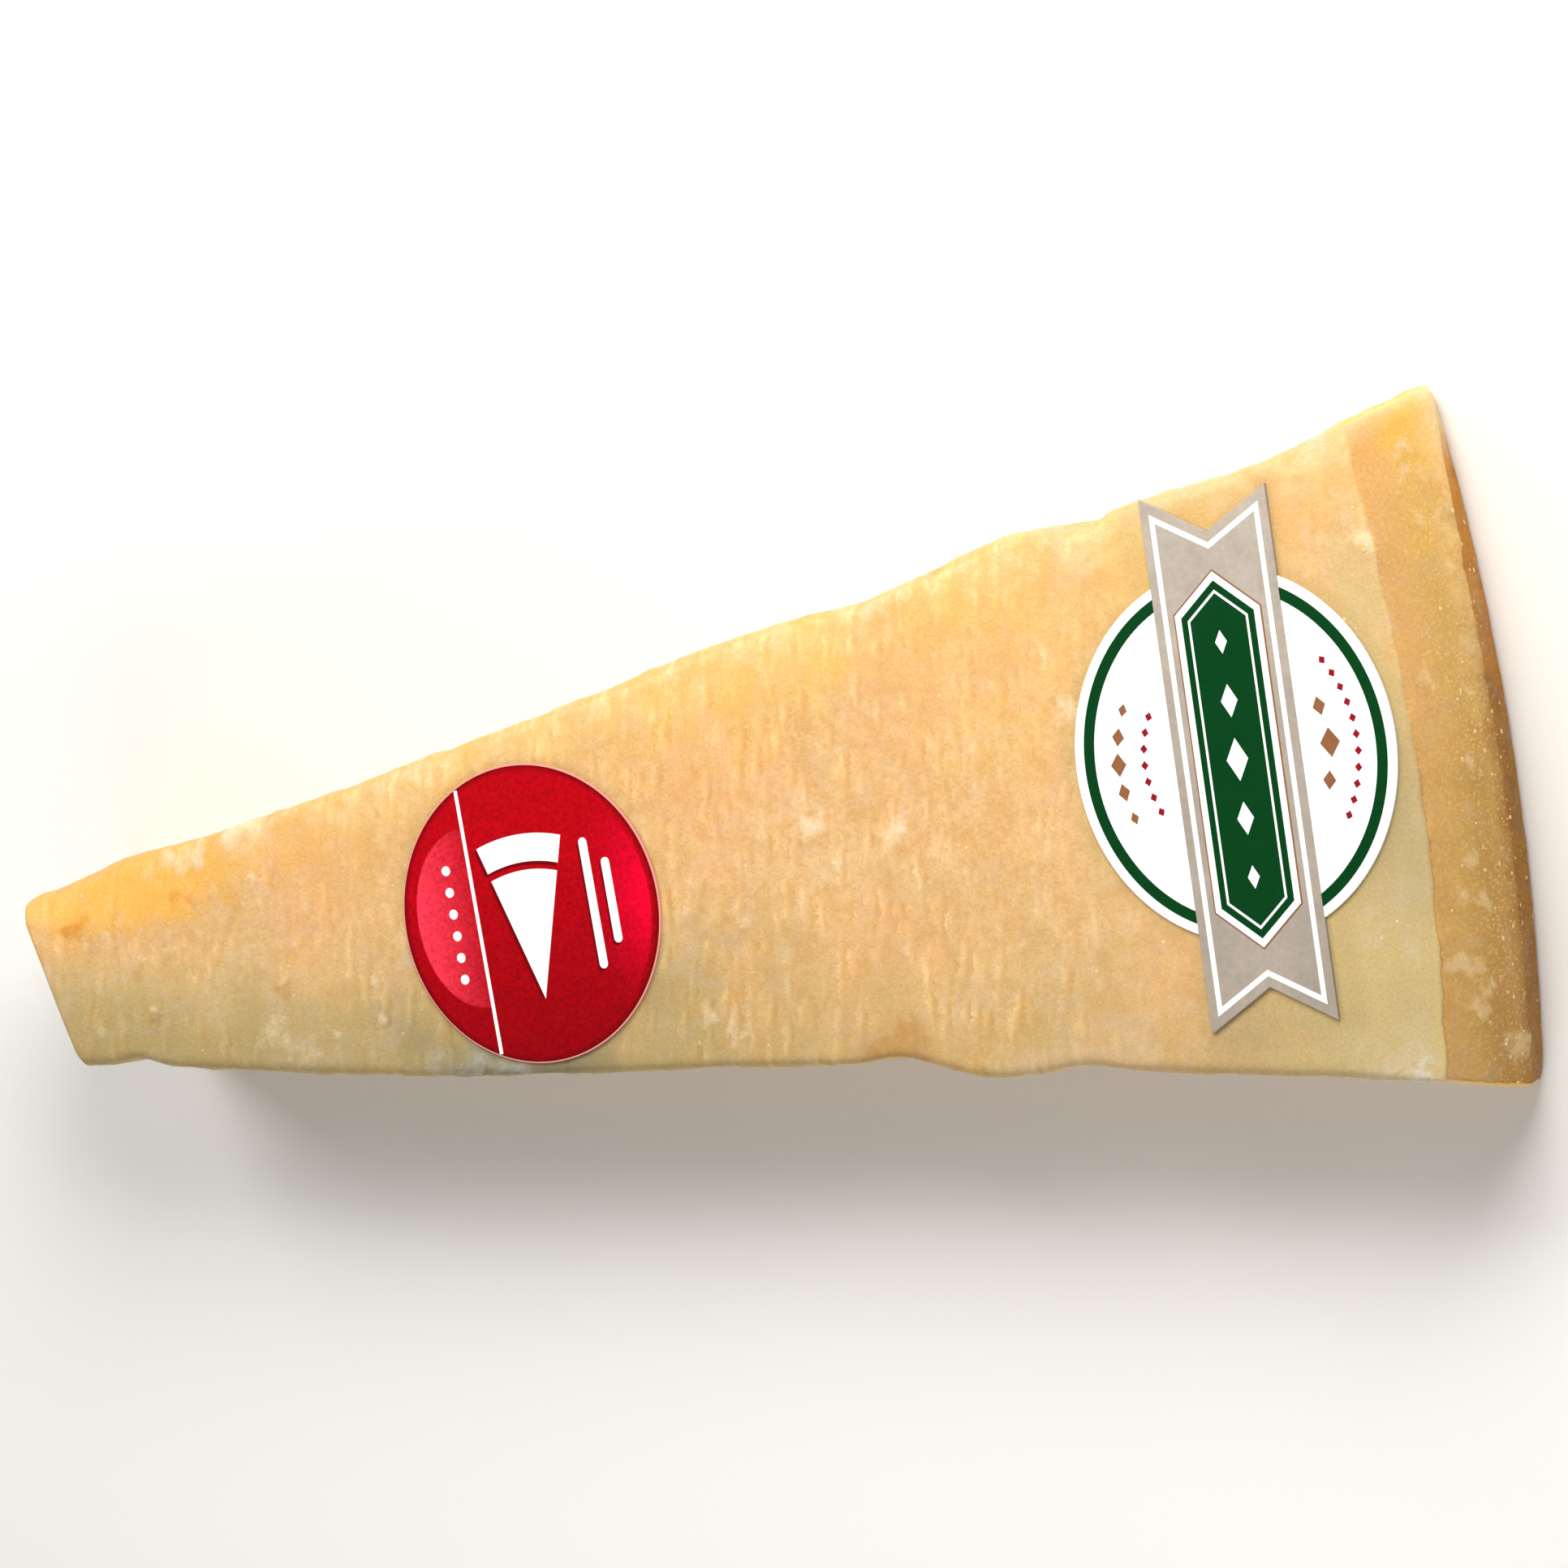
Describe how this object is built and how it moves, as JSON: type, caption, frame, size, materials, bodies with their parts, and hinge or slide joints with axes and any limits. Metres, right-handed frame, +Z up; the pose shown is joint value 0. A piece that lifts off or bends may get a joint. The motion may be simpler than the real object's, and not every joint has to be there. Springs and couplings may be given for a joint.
{
  "type": "parmesan wedge",
  "caption": "Flat wedge of hard aged cheese with a cut-off tip and a curved rind end, packed tight in clear film, with a round paper label and a ribbon-shaped paper label on its top face.",
  "frame": {"origin": "middle of the footprint, on the surface that the wedge lies on", "axes": "+X along the wedge from the cut-off tip to the rind, +Y to the left long side, +Z up through the labelled face"},
  "size_m": [0.1632, 0.0692, 0.0223],
  "materials": {
    "cheese": "cut face of a hard, grainy, straw-yellow cheese with a darker golden rind, under skin-tight clear film",
    "red_label": "glossy printed paper, deep red with a lighter crescent and a white line",
    "white_label": "satin printed paper, white disc with a green ring and a grey-beige ribbon"
  },
  "bodies": {
    "root": {"cheese_wedge": "cheese", "round_label": "red_label", "ribbon_label": "white_label"}
  },
  "joints": []
}
